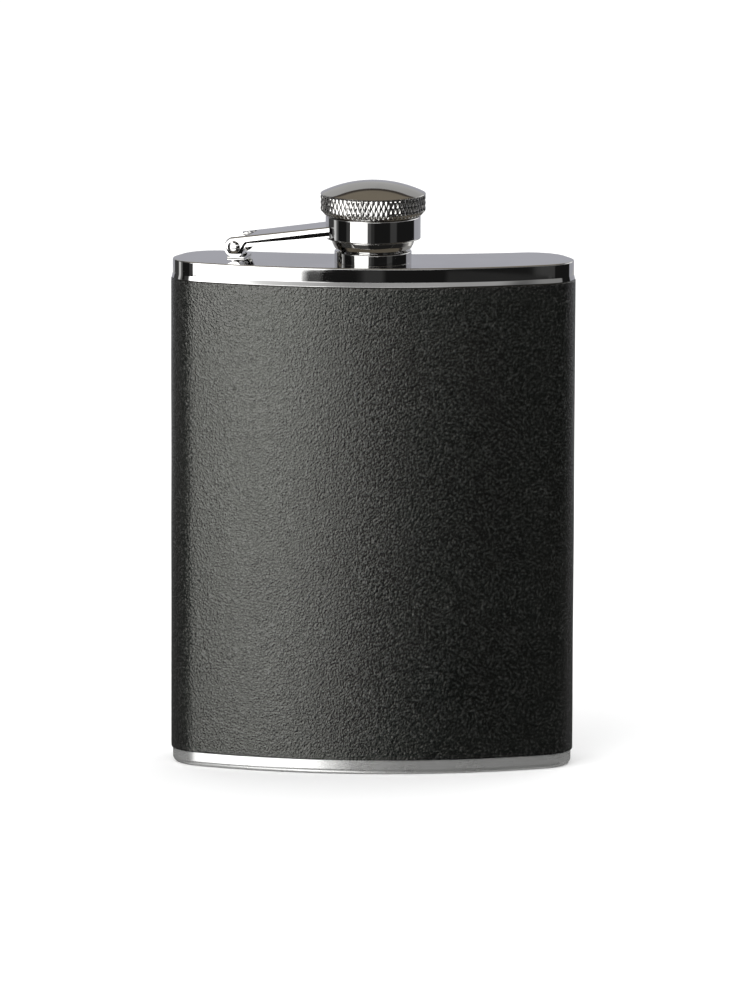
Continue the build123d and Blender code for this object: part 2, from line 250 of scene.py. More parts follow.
def spread(tree, value, low_in, high_in, low_out, high_out, smooth=False):
    """A value moved from one range to another."""
    inputs = {
        "Value": value,
        "From Min": low_in,
        "From Max": high_in,
        "To Min": low_out,
        "To Max": high_out,
    }
    kind = "SMOOTHSTEP" if smooth else "LINEAR"
    return add(tree, "ShaderNodeMapRange", inputs, interpolation_type=kind).outputs["Result"]


def blend(tree, value, first, second):
    """From one colour to another as value goes from 0 to 1; each is a colour or a socket."""
    inputs = {"Factor": value}
    for key, colour in (("A", first), ("B", second)):
        inputs[key] = colour if isinstance(colour, bpy.types.NodeSocket) else (*colour, 1)
    return add(tree, "ShaderNodeMix", inputs, data_type="RGBA").outputs["Result"]


def arithmetic(tree, operation, *values):
    """One Math node over one, two or three values."""
    inputs = dict(enumerate(values))
    return add(tree, "ShaderNodeMath", inputs, operation=operation).outputs[0]


def warped(tree, vector):
    """A vector pushed about by noise, by up to about WARP_REACH metres."""
    bend = add(tree, "ShaderNodeTexNoise", {"Vector": vector, "Scale": WARP, "Detail": 2.0})
    centred = {0: bend.outputs["Color"], 1: (0.5, 0.5, 0.5)}
    way = add(tree, "ShaderNodeVectorMath", centred, operation="SUBTRACT").outputs[0]
    push = {0: way, "Scale": WARP_REACH}
    push = add(tree, "ShaderNodeVectorMath", push, operation="SCALE").outputs[0]
    return add(tree, "ShaderNodeVectorMath", {0: vector, 1: push}, operation="ADD").outputs[0]


def cells(tree, vector, scale, width):
    """Rounded cells: 0 on the lines between them, 1 from width inwards."""
    inputs = {"Vector": vector, "Scale": scale, "Randomness": 1.0}
    lines = add(tree, "ShaderNodeTexVoronoi", inputs, feature="DISTANCE_TO_EDGE")
    return spread(tree, lines.outputs["Distance"], 0.0, width, 0.0, 1.0, smooth=True)


def relief(tree, shader, layers):
    """Bump layers, each (height, distance in metres, strength), chained into the shader."""
    normal = None
    for height, distance, strength in layers:
        inputs = {"Height": height, "Distance": distance, "Strength": strength}
        if normal is not None:
            inputs["Normal"] = normal
        normal = add(tree, "ShaderNodeBump", inputs).outputs["Normal"]
    tree.links.new(normal, shader.inputs["Normal"])


# --- Materials ---------------------------------------------------------------------------------
def mirror_steel(name, dark, light, smooth, wear_and_tip_highlight):
    """Polished steel: faint colour clouds, handling smudges, hairlines and a slight ripple."""
    material, tree, shader = principled(name, Metallic=1.0)
    clouds = grain(tree, place(tree), CLOUDS, 3)
    colour = blend(tree, spread(tree, clouds, 0.35, 0.65, 0, 1), dark, light)
    tree.links.new(colour, shader.inputs["Base Color"])
    smudges = grain(tree, place(tree), SMUDGES, 5, 0.6)
    roughness = spread(tree, smudges, 0.35, 0.72, smooth, wear_and_tip_highlight)
    tree.links.new(roughness, shader.inputs["Roughness"])
    ripple = grain(tree, place(tree), RIPPLE, 1)
    hairlines = grain(tree, place(tree, HAIRLINES), 1, 3)
    relief(tree, shader, [(ripple, *RIPPLE_RELIEF), (hairlines, *HAIRLINE_RELIEF)])
    return material


def satin_steel(name):
    """Steel brushed round the bottle: streaks in colour, roughness and relief."""
    material, tree, shader = principled(name, Metallic=0.84)
    streaks = grain(tree, place(tree, BRUSHING), 1, 4, 0.65)
    clouds = grain(tree, place(tree), BRUSHED_CLOUDS, 3)
    colour = blend(tree, streaks, (0.72, 0.72, 0.705), (0.90, 0.90, 0.885))
    tree.links.new(colour, shader.inputs["Base Color"])
    both = arithmetic(tree, "MULTIPLY_ADD", streaks, 0.5, clouds)
    roughness = spread(tree, both, 0.3, 1.0, 0.16, 0.34)
    tree.links.new(roughness, shader.inputs["Roughness"])
    relief(tree, shader, [(streaks, *BRUSHED_RELIEF)])
    return material


def black_leather(name):
    """Half-matt black leather: pebbles with painted shade in the valleys between them, wrinkles with
    painted highlights on their tips, creases, pores and dull patches.
    """
    material, tree, shader = principled(
        name, Specular_IOR_Level=1.0, IOR=1.54, Specular_Tint=(1.0, 1.01, 0.945, 1))
    vector = place(tree)
    moved = warped(tree, vector)
    pebbles = cells(tree, moved, PEBBLES, 0.42)
    creases = cells(tree, moved, CREASES, 0.4)
    wrinkles = grain(tree, moved, WRINKLES, 2)
    pores = grain(tree, vector, PORES, 2)
    patches = grain(tree, vector, PATCHES, 4, 0.6)
    tone = spread(tree, patches, 0.3, 0.7, 0.0, 1.0)
    colour = blend(tree, tone, (0.0012, 0.0012, 0.0011), (0.0022, 0.0022, 0.002))
    # Painted highlights: the tips of the wrinkles are lightened as if light caught them.
    tips = spread(tree, wrinkles, 0.50, 0.70, 0.0, 1.0)
    wear_and_tip_highlight = blend(tree, tips, colour, PAINTED_TIP_HIGHLIGHT)
    # Painted shade: the valleys between pebbles are darkened where shade would fall.
    valley = arithmetic(tree, "MULTIPLY", arithmetic(tree, "SUBTRACT", 1.0, pebbles), VALLEY_SHADE_DEPTH)
    shaded = blend(tree, valley, wear_and_tip_highlight, VALLEY_PAINTED_SHADE)
    tree.links.new(shaded, shader.inputs["Base Color"])
    dull = spread(tree, patches, 0.3, 0.7, 0.14, 0.19)
    roughness = arithmetic(tree, "MULTIPLY_ADD", valley, 0.12, dull)
    tree.links.new(roughness, shader.inputs["Roughness"])
    relief(tree, shader, [
        (pebbles, *PEBBLE_RELIEF),
        (wrinkles, *WRINKLE_RELIEF),
        (creases, *CREASE_RELIEF),
        (pores, *PORE_RELIEF),
    ])
    return material


def seal_rubber(name):
    """Dark silicone with a bloom and a fine moulded grain."""
    material, tree, shader = principled(name, Specular_IOR_Level=0.4)
    bloom = grain(tree, place(tree), BLOOM, 4)
    colour = blend(tree, bloom, (0.035, 0.036, 0.038), (0.085, 0.086, 0.09))
    tree.links.new(colour, shader.inputs["Base Color"])
    tree.links.new(spread(tree, bloom, 0.3, 0.7, 0.5, 0.72), shader.inputs["Roughness"])
    relief(tree, shader, [(grain(tree, place(tree), RUBBER_GRAIN, 2), *RUBBER_RELIEF)])
    return material


POLISHED = mirror_steel(
    "polished steel", dark=(0.60, 0.595, 0.585), light=(0.67, 0.665, 0.655), smooth=0.008, wear_and_tip_highlight=0.03)
CAP_STEEL = mirror_steel(
    "cap steel", dark=(0.53, 0.52, 0.50), light=(0.62, 0.61, 0.59), smooth=0.03, wear_and_tip_highlight=0.08)
SATIN = satin_steel("satin steel")
LEATHER = black_leather("black leather")
RUBBER = seal_rubber("seal rubber")


# --- Mesh helpers ------------------------------------------------------------------------------
def mesh_from(name, vertices, faces):
    """A mesh in metres from points in millimetres."""
    mesh = bpy.data.meshes.new(name)
    mesh.from_pydata([(x * MM, y * MM, z * MM) for x, y, z in vertices], [], faces)
    return mesh


def object_from(name, data):
    """An object in the scene that holds a mesh, a light or a camera."""
    made = bpy.data.objects.new(name, data)
    bpy.context.scene.collection.objects.link(made)
    return made


def make_piece(name, vertices, faces, material, body, slot, nodes):
    """A smooth mesh object from millimetre points, standing in for CAD nodes on a body."""
    mesh = mesh_from(name, vertices, faces)
    mesh.validate()
    shape = bmesh.new()
    shape.from_mesh(mesh)
    bmesh.ops.recalc_face_normals(shape, faces=shape.faces)
    shape.to_mesh(mesh)
    shape.free()
    mesh.shade_smooth()
    mesh.materials.append(material)
    piece = object_from(name, mesh)
    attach(piece, body)
    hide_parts(*nodes)
    return piece


def break_edges(piece, width, segments, angle):
    """A small bevel on every edge that turns by more than angle degrees."""
    bevel = piece.modifiers.new("broken edges", "BEVEL")
    bevel.width = width * MM
    bevel.segments = segments
    bevel.limit_method = "ANGLE"
    bevel.angle_limit = radians(angle)
    bevel.harden_normals = True


def flat_faces(piece):
    """Large faces keep their own normals, so walls stay straight up to their rounded edges."""
    weights = piece.modifiers.new("flat faces", "WEIGHTED_NORMAL")
    weights.mode = "FACE_AREA"
    weights.weight = 80


def skin(rings, closed):
    """Quads between rings of equal count; a ring of one point becomes a fan's tip."""
    vertices = []
    starts = []
    for ring in rings:
        starts.append(len(vertices))
        vertices.extend(ring)
    faces = []
    pairs = list(zip(range(len(rings) - 1), range(1, len(rings))))
    if closed:
        pairs.append((len(rings) - 1, 0))
    for lower, upper in pairs:
        a, b = starts[lower], starts[upper]
        count = max(len(rings[lower]), len(rings[upper]))
        for i in range(count):
            j = (i + 1) % count
            if len(rings[lower]) == 1:
                faces.append((a, b + j, b + i))
            elif len(rings[upper]) == 1:
                faces.append((a + i, a + j, b))
            else:
                faces.append((a + i, a + j, b + j, b + i))
    return vertices, faces


def rounded(corners, closed=True, steps=5):
    """A profile through (radius, height, rounding) corners, with arcs and support points.

    An open profile's first and last corners stay single points.
    """
    points = []
    count = len(corners)
    for i, (x, z, rounding) in enumerate(corners):
        here = Vector((x, z))
        back = (Vector(corners[i - 1][:2]) - here).normalized()
        ahead = (Vector(corners[(i + 1) % count][:2]) - here).normalized()
        if not (closed or 0 < i < count - 1):
            points.append((x, z))
            continue
        if not rounding:
            points += [tuple(here + back * SUPPORT), (x, z), tuple(here + ahead * SUPPORT)]
            continue
        half = back.angle(ahead) / 2
        run = rounding / max(abs(sin(half) / cos(half)), TINY)
        centre = here + (back + ahead).normalized() * rounding / sin(half)
        start = here + back * run
        end = here + ahead * run
        points.append(tuple(start + back * SUPPORT))
        first = start - centre
        turn = first.angle_signed(end - centre)
        for step in range(steps + 1):
            spin = Matrix.Rotation(-turn * step / steps, 2)
            points.append(tuple(centre + spin @ first))
        points.append(tuple(end + ahead * SUPPORT))
    return points


def lathe(profile, segments, closed=True, shape=None):
    """Rings of a profile turned about the neck's axis; shape may move a radius by angle and height."""
    rings = []
    for radius, height in profile:
        if radius == 0:
            rings.append([(0, 0, height)])
            continue
        ring = []
        for i in range(segments):
            angle = tau * i / segments
            r = shape(radius, height, angle) if shape else radius
            ring.append((r * cos(angle), r * sin(angle), height))
        rings.append(ring)
    return skin(rings, closed)


def even(start, end, step):
    """Heights from start to end, evenly spaced by about step."""
    count = max(1, round(abs(end - start) / step))
    return [start + (end - start) * i / count for i in range(count + 1)]


# --- The bottle's outline ----------------------------------------------------------------------
def corner_centre(arc_centre, distance, line_point, along, outward):
    """Centre of an upright corner's rounding, between a broad arc and the straight end."""
    base = line_point - outward * END_RADIUS
    offset = base - arc_centre
    b = offset.dot(along)
    return base + along * (-b - sqrt(b * b - offset.length_squared + distance**2))


def arc_points(centre, radius, start, end, step):
    """Points and outward directions along an arc; radius is negative where it is hollow."""
    turns = even(start, end, step / abs(radius))
    ways = [Vector((cos(turn), sin(turn))) for turn in turns]
    if radius < 0:
        return [(centre + way * -radius, -way) for way in ways]
    return [(centre + way * radius, way) for way in ways]


def outline(step):
    """The steel section from the middle of the back, round the left, the front and the right."""
    half = STEEL_DEPTH / 2
    front_centre = Vector((0, FRONT_RADIUS - half))
    back_centre = Vector((0, BACK_RADIUS + half))
    front = Vector((FRONT_CORNER_X, front_centre.y - sqrt(FRONT_RADIUS**2 - FRONT_CORNER_X**2)))
    back = Vector((BACK_CORNER_X, back_centre.y - sqrt(BACK_RADIUS**2 - BACK_CORNER_X**2)))
    along = (back - front).normalized()
    outward = Vector((along.y, -along.x))
    near = corner_centre(front_centre, FRONT_RADIUS - END_RADIUS, front, along, outward)
    far = corner_centre(back_centre, BACK_RADIUS + END_RADIUS, front, along, outward)
    side = atan2(outward.y, outward.x)
    front_turn = atan2(near.y - front_centre.y, near.x - front_centre.x)
    back_turn = atan2(back_centre.y - far.y, back_centre.x - far.x)
    right = arc_points(front_centre, FRONT_RADIUS, -pi / 2, front_turn, step)
    right += arc_points(near, END_RADIUS, front_turn, side, step)[1:]
    straight = even(0, (far - near).length, step)[1:-1]
    right += [(near + outward * END_RADIUS + along * s, outward) for s in straight]
    right += arc_points(far, END_RADIUS, side, back_turn, step)
    right += arc_points(back_centre, -BACK_RADIUS, back_turn - pi, -pi / 2, step)[1:]
    left = [(Vector((-p.x, p.y)), Vector((-n.x, n.y))) for p, n in right]
    return left[::-1][:-1] + right[:-1]


def kidney_ring(points, grow, height):
    """One ring of the bottle's section, grown outwards."""
    return [(p.x + n.x * grow, p.y + n.y * grow, height) for p, n in points]


def round_ring(points, radius, height):
    """A circle whose points lie in the same directions as the outline's."""
    turns = [atan2(p.y, p.x) for p, n in points]
    return [(radius * cos(turn), radius * sin(turn), height) for turn in turns]


# --- Bottle pieces -----------------------------------------------------------------------------
def top_plate():
    """The lid: flared shoulder, mirror skirt, rounded rim, flat top and the neck's hole."""
    points = outline(OUTLINE_STEP)
    skirt_foot = PLATE_Z - SKIRT_HEIGHT
    under = PLATE_Z - PLATE_THICKNESS
    path = rounded([
        (-PLATE_WALL, under, 0),
        (-PLATE_WALL, BODY_TOP, 0),
        (SHOULDER_FLARE, BODY_TOP, 0.06),
        (0, skirt_foot, 0.12),
        (0, PLATE_Z, RIM_EDGE),
        (-3 * PLATE_WALL, PLATE_Z, 0),
    ], closed=False)
    rings = [kidney_ring(points, grow, height) for grow, height in path]
    edge, beside = SPIGOT_RADIUS, SPIGOT_RADIUS + SUPPORT
    hole = [(beside, PLATE_Z), (edge, PLATE_Z), (edge, PLATE_Z - SUPPORT)]
    hole += [(edge, under + SUPPORT), (edge, under), (beside, under)]
    rings += [round_ring(points, radius, height) for radius, height in hole]
    mesh = skin(rings, closed=True)
    make_piece("top_plate_mirror", *mesh, POLISHED, "flask", "polished_steel", ["top_plate"])


def base_plate():
    """The foot: a satin tray with a rounded lower edge."""
    points = outline(OUTLINE_STEP)
    path = rounded([
        (-3 * BASE_EDGE, 0, 0),
        (0, 0, BASE_EDGE),
        (0, BASE_TOP, 0.08),
        (-PLATE_WALL, BASE_TOP, 0),
        (-PLATE_WALL, PLATE_THICKNESS, 0),
    ], closed=False, steps=8)
    rings = [[(0, 0, 0)]]
    rings += [kidney_ring(points, grow, height) for grow, height in path]
    rings.append([(0, 0, PLATE_THICKNESS)])
    mesh = skin(rings, closed=False)
    make_piece("base_plate_satin", *mesh, SATIN, "flask", "base_steel", ["base_plate"])


def leather_surface(position, height, travel):
    """How far a point of the leather lies off its even shape; travel is its way from the seam."""
    spot = Vector((position.x, position.y, height)) * SAG_SCALE
    lie = noise.noise(spot) * LEATHER_SAG
    seam = -SEAM_DEPTH * 2.0 ** (-((travel / SEAM_WIDTH) ** 2))
    lip = SEAM_LIP * 2.0 ** (-(((abs(travel) - 2.5 * SEAM_WIDTH) / SEAM_WIDTH) ** 2))
    return lie + seam + lip


def leather_wrap():
    """The leather sleeve: rounded cut edges, a slightly uneven lie and a butt seam down the back."""
    points = outline(LEATHER_STEP)
    middle = points[0][0]
    seam_right = [(Vector((x, middle.y)), Vector((0, 1))) for x in SEAM_COLUMNS]
    seam_left = [(Vector((-x, middle.y)), Vector((0, 1))) for x in SEAM_COLUMNS]
    points = [q for q in points if abs(q[0].x) > SEAM_CLEARING or q[0].y < 0 or q is points[0]]
    points = [points[0]] + seam_left + points[1:] + seam_right[::-1]
    inner = LEATHER_PROUD - LEATHER_THICKNESS
    section = rounded([
        (inner, BASE_TOP, 0),
        (LEATHER_PROUD, BASE_TOP, LEATHER_EDGE),
        (LEATHER_PROUD, BODY_TOP, LEATHER_EDGE),
        (inner, BODY_TOP, 0),
    ], closed=False)
    split = len(section) // 2
    lower, upper = section[:split], section[split:]
    heights = even(lower[-1][1], upper[0][1], LEATHER_ROW)[1:-1]
    path = lower + [(LEATHER_PROUD, z) for z in heights] + upper
    rings = []
    for grow, height in path:
        outside = grow > inner
        at_top = height > BODY_TOP - CUT_BAND
        at_foot = height < BASE_TOP + CUT_BAND
        ring = []
        for p, n in points:
            travel = p.x if p.y > 0 else FAR_FROM_SEAM
            lift = leather_surface(p, height, travel) if outside else 0
            spot = Vector((p.x, p.y, CUT_SLICE)) * CUT_SCALE
            wander = CUT_WANDER * noise.noise(spot) if outside else 0
            inward = min(0, wander) if at_top or at_foot else 0
            up = -abs(wander) if at_top else abs(wander) if at_foot else 0
            size = grow + min(lift, LEATHER_SWELL) + inward
            ring.append((p.x + n.x * size, p.y + n.y * size, height + up))
        rings.append(ring)
    mesh = skin(rings, closed=True)
    piece = make_piece("leather_sleeve", *mesh, LEATHER, "flask", "leather", ["leather_wrap"])


# --- Neck and cap pieces -----------------------------------------------------------------------
def thread_height(height, angle, start, end):
    """From 0 at the root to 1 at the crest of a right-handed thread, running out at its ends."""
    turn = (height / THREAD_PITCH - angle / tau) % 1.0
    wave = min(1.0, max(0.0, THREAD_HEIGHT - abs(turn - 0.5) * THREAD_SLOPE))
    begun = max(0.0, (height - start) / THREAD_RUNOUT)
    left = max(0.0, (end - height) / THREAD_RUNOUT)
    return wave * min(1.0, begun, left)


def threaded(corners, root, crest, start, end, closed=True):
    """A lathed mesh whose long wall at the root's radius carries a thread from start to end."""
    profile = []
    for point, after in zip(corners, corners[1:] + corners[:1]):
        profile.append(point)
        on_wall = abs(point[0] - root) < TINY and abs(after[0] - root) < TINY
        if on_wall and abs(after[1] - point[1]) > THREAD_PITCH:
            profile += [(root, z) for z in even(point[1], after[1], THREAD_ROW)[1:-1]]

    def shape(radius, height, angle):
        if abs(radius - root) > SUPPORT or not start < height < end:
            return radius
        return radius + (crest - root) * thread_height(height, angle, start, end)

    return lathe(profile, THREAD_SEGMENTS, closed, shape)


def neck():
    """The spout: plain collar, helical thread, rounded pouring rim and straight bore."""
    top = high("neck")
    collar_top = PLATE_Z + NECK_COLLAR_HEIGHT
    flange = PLATE_Z - PLATE_THICKNESS
    corners = rounded([
        (BORE_RADIUS, low("neck"), 0.1),
        (reach("neck"), low("neck"), 0.1),
        (reach("neck"), flange, 0),
        (SPIGOT_RADIUS, flange, 0),
        (SPIGOT_RADIUS, PLATE_Z, 0),
        (NECK_COLLAR_RADIUS, PLATE_Z, 0),
        (NECK_COLLAR_RADIUS, collar_top, 0.3),
        (NECK_ROOT, collar_top, 0.1),
        (NECK_ROOT, top, 0.22),
        (BORE_RADIUS, top, 0.25),
    ])
    mesh = threaded(corners, NECK_ROOT, NECK_CREST, collar_top + 0.5, top - 0.4)
    flat_faces(make_piece("neck_spout", *mesh, POLISHED, "flask", "polished_steel", ["neck"]))


def swivel_collar():
    """The smooth band round the cap, with its inward flange on top."""
    outer = reach("swivel_collar")
    bottom, top = low("swivel_collar"), high("swivel_collar")
    profile = rounded([
        (outer - COLLAR_WALL, bottom, 0.2),
        (outer, bottom, 0.25),
        (outer, top, 0.4),
        (COLLAR_HOLE_RADIUS, top, 0.15),
        (COLLAR_HOLE_RADIUS, top - COLLAR_WALL, 0.15),
        (outer - COLLAR_WALL, top - COLLAR_WALL, 0),
    ])
    mesh = lathe(profile, BAND_SEGMENTS)
    flat_faces(make_piece("swivel_band", *mesh, POLISHED, "arm", "polished_steel", ["swivel_collar"]))


def cap_sleeve():
    """The threaded cup of the cap, with the flared lip that shows under the band."""
    bottom, top = low("cap_sleeve"), high("cap_sleeve")
    ceiling = top - SLEEVE_ROOF
    lip = reach("cap_sleeve")
    corners = rounded([
        (0, ceiling, 0),
        (SLEEVE_ROOT, ceiling, 0.2),
        (SLEEVE_ROOT, bottom, 0.15),
        (LIP_FOOT_RADIUS, bottom, 0.1),
        (lip - 0.35, bottom + 0.45 * LIP_HEIGHT, 1.2),
        (lip, bottom + LIP_HEIGHT, 0.3),
        (SLEEVE_RADIUS, bottom + LIP_SHOULDER_HEIGHT, 0.3),
        (SLEEVE_RADIUS, top, 0.1),
        (0, top, 0),
    ], closed=False)
    mesh = threaded(corners, SLEEVE_ROOT, SLEEVE_CREST, bottom + 0.6, ceiling - 1.7, closed=False)
    make_piece("cap_sleeve_lip", *mesh, CAP_STEEL, "cap", "cap_steel", ["cap_sleeve"])


def knurl_cut(height, angle, bottom, top, lean):
    """How deep the diamond knurl is here, from 0 on its tips to 1; it runs out at both ends."""
    nearest = 1.0
    for way in (1, -1):
        turn = (angle / tau * KNURL_LINES + way * (height - bottom) * lean) % 1.0
        nearest = min(nearest, abs(turn - 0.5) * 2)
    begun = max(0.0, (height - bottom) / KNURL_RUNOUT)
    left = max(0.0, (top - height) / KNURL_RUNOUT)
    return (1.0 - nearest) * min(1.0, begun, left)


def cap_shell():
    """The cap's head: a diamond knurl that runs down over the chamfer, and a shallow polished dome."""
    outer = reach("cap_shell")
    bottom, top = low("cap_shell"), high("cap_shell")
    chamfer_top = bottom + HEAD_CHAMFER
    knurl_bottom = bottom + KNURL_START
    knurl_top = chamfer_top + KNURL_HEIGHT
    rim = knurl_top + RIM_HEIGHT
    dome = top - rim
    dome_radius = (outer**2 + dome**2) / (2 * dome)
    centre = top - dome_radius
    lean = KNURL_LINES * sin(KNURL_ANGLE) / cos(KNURL_ANGLE) / (tau * outer)    # lines per mm up
    row_height = 1 / (KNURL_SAMPLES * lean)

    def arc(radius, edge):
        widest = asin(edge / radius)
        turns = [widest * (1 - i / DOME_STEPS) for i in range(DOME_STEPS + 1)]
        return [(radius * sin(t), centre + radius * cos(t)) for t in turns]

    def shape(radius, height, angle):
        if radius < HEAD_UNDERSIDE_RADIUS or not knurl_bottom < height < knurl_top:
            return radius
        return radius - KNURL_DEPTH * knurl_cut(height, angle, knurl_bottom, knurl_top, lean)

    inner = outer - HEAD_WALL
    path = rounded([
        (inner, bottom + HEAD_WALL, 0),
        (SLEEVE_RADIUS, bottom + HEAD_WALL, 0),
        (SLEEVE_RADIUS, bottom, 0.1),
        (HEAD_UNDERSIDE_RADIUS, bottom, 0.1),
        (outer, chamfer_top, 0),
    ], closed=False)[:-1]
    for i in range(int((knurl_top - knurl_bottom) / row_height)):
        height = knurl_bottom + row_height * i
        share = min(1, (height - bottom) / HEAD_CHAMFER)
        path.append((HEAD_UNDERSIDE_RADIUS + (outer - HEAD_UNDERSIDE_RADIUS) * share, height))
    path += [(outer, knurl_top), (outer, knurl_top + SUPPORT)]
    path += [(outer - inwards, rim + up) for inwards, up in RIM_ROUNDING]
    roof = arc(dome_radius, outer)
    path += [p for p in roof if p[0] < outer - RIM_WIDTH]
    path[-1] = (0, top)
    ceiling = arc(dome_radius - HEAD_WALL, inner)[::-1]
    ceiling[0] = (0, top - HEAD_WALL)
    mesh = lathe(path + ceiling, KNURL_LINES * KNURL_SAMPLES, shape=shape)
    make_piece("cap_head", *mesh, CAP_STEEL, "cap", "cap_steel", ["cap_shell"])


def gasket():
    """The seal: a soft disc with the ring that the neck's rim has pressed into it."""
    bottom, top = low("gasket"), high("gasket")
    outer = reach("gasket")
    profile = rounded([
        (0, bottom, 0),
        (BORE_RADIUS - 0.3, bottom, 0.1),
        (BORE_RADIUS, bottom + 0.12, 0.1),
        (NECK_ROOT, bottom + 0.12, 0.1),
        (NECK_ROOT + 0.3, bottom, 0.1),
        (outer, bottom, 0.2),
        (outer, top, 0.2),
        (0, top, 0),
    ], closed=False)
    mesh = lathe(profile, SEAL_SEGMENTS, closed=False)
    make_piece("gasket_disc", *mesh, RUBBER, "seal", "seal_rubber", ["gasket"])


# --- Hinge pieces ------------------------------------------------------------------------------
def softened(node, body, edge, name):
    """A CAD node's own shape with its sharp edges broken by a small bevel."""
    mesh = frame["nodes"][node].data.copy()
    mesh.name = name
    shape = bmesh.new()
    shape.from_mesh(mesh)
    bmesh.ops.remove_doubles(shape, verts=shape.verts, dist=2e-6)
    bmesh.ops.dissolve_limit(
        shape, angle_limit=radians(1.5), verts=shape.verts, edges=shape.edges)
    shape.to_mesh(mesh)
    shape.free()
    mesh.materials.clear()
    mesh.materials.append(POLISHED)
    mesh.shade_smooth()
    piece = object_from(name, mesh)
    break_edges(piece, edge, segments=3, angle=35)
    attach(piece, body)
    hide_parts(node)


def hinge_frame():
    """The pin's place and the arm's length and across directions, from the swing joint."""
    joint = next(j for j in frame["joints"] if j["name"] == "arm_swing")
    pin = Vector(joint["pos_m"]) / MM
    across = -Vector(joint["axis"]).normalized()
    along = across.cross(Vector((0, 0, 1)))
    return pin, along, across


def arm_station(x, slope):
    """Heights of the arm's lower and upper edge, x from the pin towards the neck."""
    top = ARM_TOP_AT_PIN + slope * x
    bottom = top - ARM_FLANGE_HEIGHT
    if abs(x) < ARM_EAR_RADIUS:
        ear = sqrt(ARM_EAR_RADIUS**2 - x * x)
        bottom = min(bottom, -ear) if x > 0 else -ear
        if x < 0:
            top = min(top, ear)
    return bottom, top


def arm_section(x, slope, spread_out):
    """Across and height of every row of the outer skin, from the front flange's foot to the rear's."""
    bottom, top = arm_station(x, slope)
    half = ARM_HALF_WIDTH + spread_out * x
    bend = min(ARM_BEND, (top - bottom) / 3)
    side = []
    for i in range(FLANGE_ROWS + 1):
        share = i / FLANGE_ROWS
        crown = ARM_CROWN * (1 - share) ** 2
        side.append((half - crown, bottom + (top - bend - bottom) * share))
    for i in range(1, BEND_ROWS):
        turn = pi / 2 * i / BEND_ROWS
        side.append((half - bend + bend * cos(turn), top - bend + bend * sin(turn)))
    side += [(half - bend, top), (half - bend - WEB_MARGIN, top), (NOTCH_HALF_WIDTH, top)]
    web = [(NOTCH_HALF_WIDTH * (1 - 2 * i / WEB_ROWS), top) for i in range(1, WEB_ROWS)]
    return [(-y, z) for y, z in side] + [(-y, z) for y, z in web] + side[::-1]


def link_arm():
    """The pressed channel: crowned flanges with round ears, a flat web notched for the lug."""
    pin, along, across = hinge_frame()
    length = hypot(pin.x, pin.y)
    reach_to_collar = length - reach("swivel_collar")
    slope = (ARM_TOP_AT_COLLAR - ARM_TOP_AT_PIN) / reach_to_collar
    spread_out = (ARM_HALF_WIDTH_AT_COLLAR - ARM_HALF_WIDTH) / reach_to_collar
    inside_wall = reach("swivel_collar") - COLLAR_WALL / 2
    ear = [-EAR_SHARE * ARM_EAR_RADIUS * cos(pi * i / EAR_STEPS) for i in range(EAR_STEPS + 1)]
    stations = [x for x in ear if x < ARM_EAR_RADIUS - 0.1]
    stations += [*NOTCH_STATIONS, NOTCH_REACH]
    shares = even(0, 1, ARM_STEP)[1:]
    spots = [(x, y, z) for x in stations for y, z in arm_section(x, slope, spread_out)]
    for share in shares:
        for row, (y, z) in enumerate(arm_section(NOTCH_REACH, slope, spread_out)):
            for _ in range(3):      # settles on where this row meets the round collar
                end = length - sqrt(inside_wall**2 - y * y)
                x = NOTCH_REACH + (end - NOTCH_REACH) * share
                y, z = arm_section(x, slope, spread_out)[row]
            spots.append((x, y, z))
    vertices = []
    for x, y, z in spots:
        spot = pin + along * x + across * y
        vertices.append((spot.x, spot.y, pin.z + z))
    section = [y for y, z in arm_section(0, slope, spread_out)]
    rows = len(section)
    faces = []
    for i in range(len(stations) + len(shares) - 1):
        beside_notch = i < len(stations) - 1
        for row in range(rows - 1):
            if beside_notch and abs(section[row] + section[row + 1]) / 2 < NOTCH_HALF_WIDTH:
                continue
            a = i * rows + row
            faces.append((a, a + 1, a + rows + 1, a + rows))
    piece = make_piece(
        "link_arm_channel", vertices, faces, POLISHED, "arm", "polished_steel", ["link_arm"])
    if sum(p.normal.z * p.area for p in piece.data.polygons) < 0:
        piece.data.flip_normals()
    sheet = piece.modifiers.new("sheet", "SOLIDIFY")
    sheet.thickness = ARM_SHEET * MM
    sheet.offset = -1
    sheet.use_even_offset = True
    break_edges(piece, ARM_EDGE, segments=2, angle=40)


def hinge_pin():
    """The rivet: a shank with a low domed head at each end."""
    pin, along, across = hinge_frame()
    low_corner, high_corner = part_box("hinge_pin")
    middle = (low_corner + high_corner) / 2 / MM
    diagonal = high_corner - low_corner
    half = (diagonal.y / MM - 2 * PIN_HEAD_RADIUS * abs(across.x)) / 2 / across.y
    neck_end = half - PIN_HEAD_HEIGHT
    side = rounded([
        (0, half, 0),
        (PIN_HEAD_RADIUS * 0.55, half - 0.05, 1.2),
        (PIN_HEAD_RADIUS, neck_end + 0.18, 0.12),
        (PIN_HEAD_RADIUS, neck_end, 0.05),
        (PIN_RADIUS, neck_end, 0),
    ], closed=False)
    profile = side + [(r, -z) for r, z in side[::-1]]
    vertices, faces = lathe(profile, PIN_SEGMENTS, closed=False)
    up = Vector((0, 0, 1))
    spots = [tuple(middle + along * x + up * y + across * z) for x, y, z in vertices]
    make_piece("hinge_rivet", spots, faces, POLISHED, "arm", "polished_steel", ["hinge_pin"])


# --- Build -------------------------------------------------------------------------------------
top_plate()
base_plate()
leather_wrap()
neck()
swivel_collar()
cap_sleeve()
cap_shell()
gasket()
link_arm()
hinge_pin()
softened("hinge_post", "flask", LUG_EDGE, "hinge_lug")
shell = frame["nodes"]["body_shell"].data
shell.materials.clear()
shell.materials.append(SATIN)


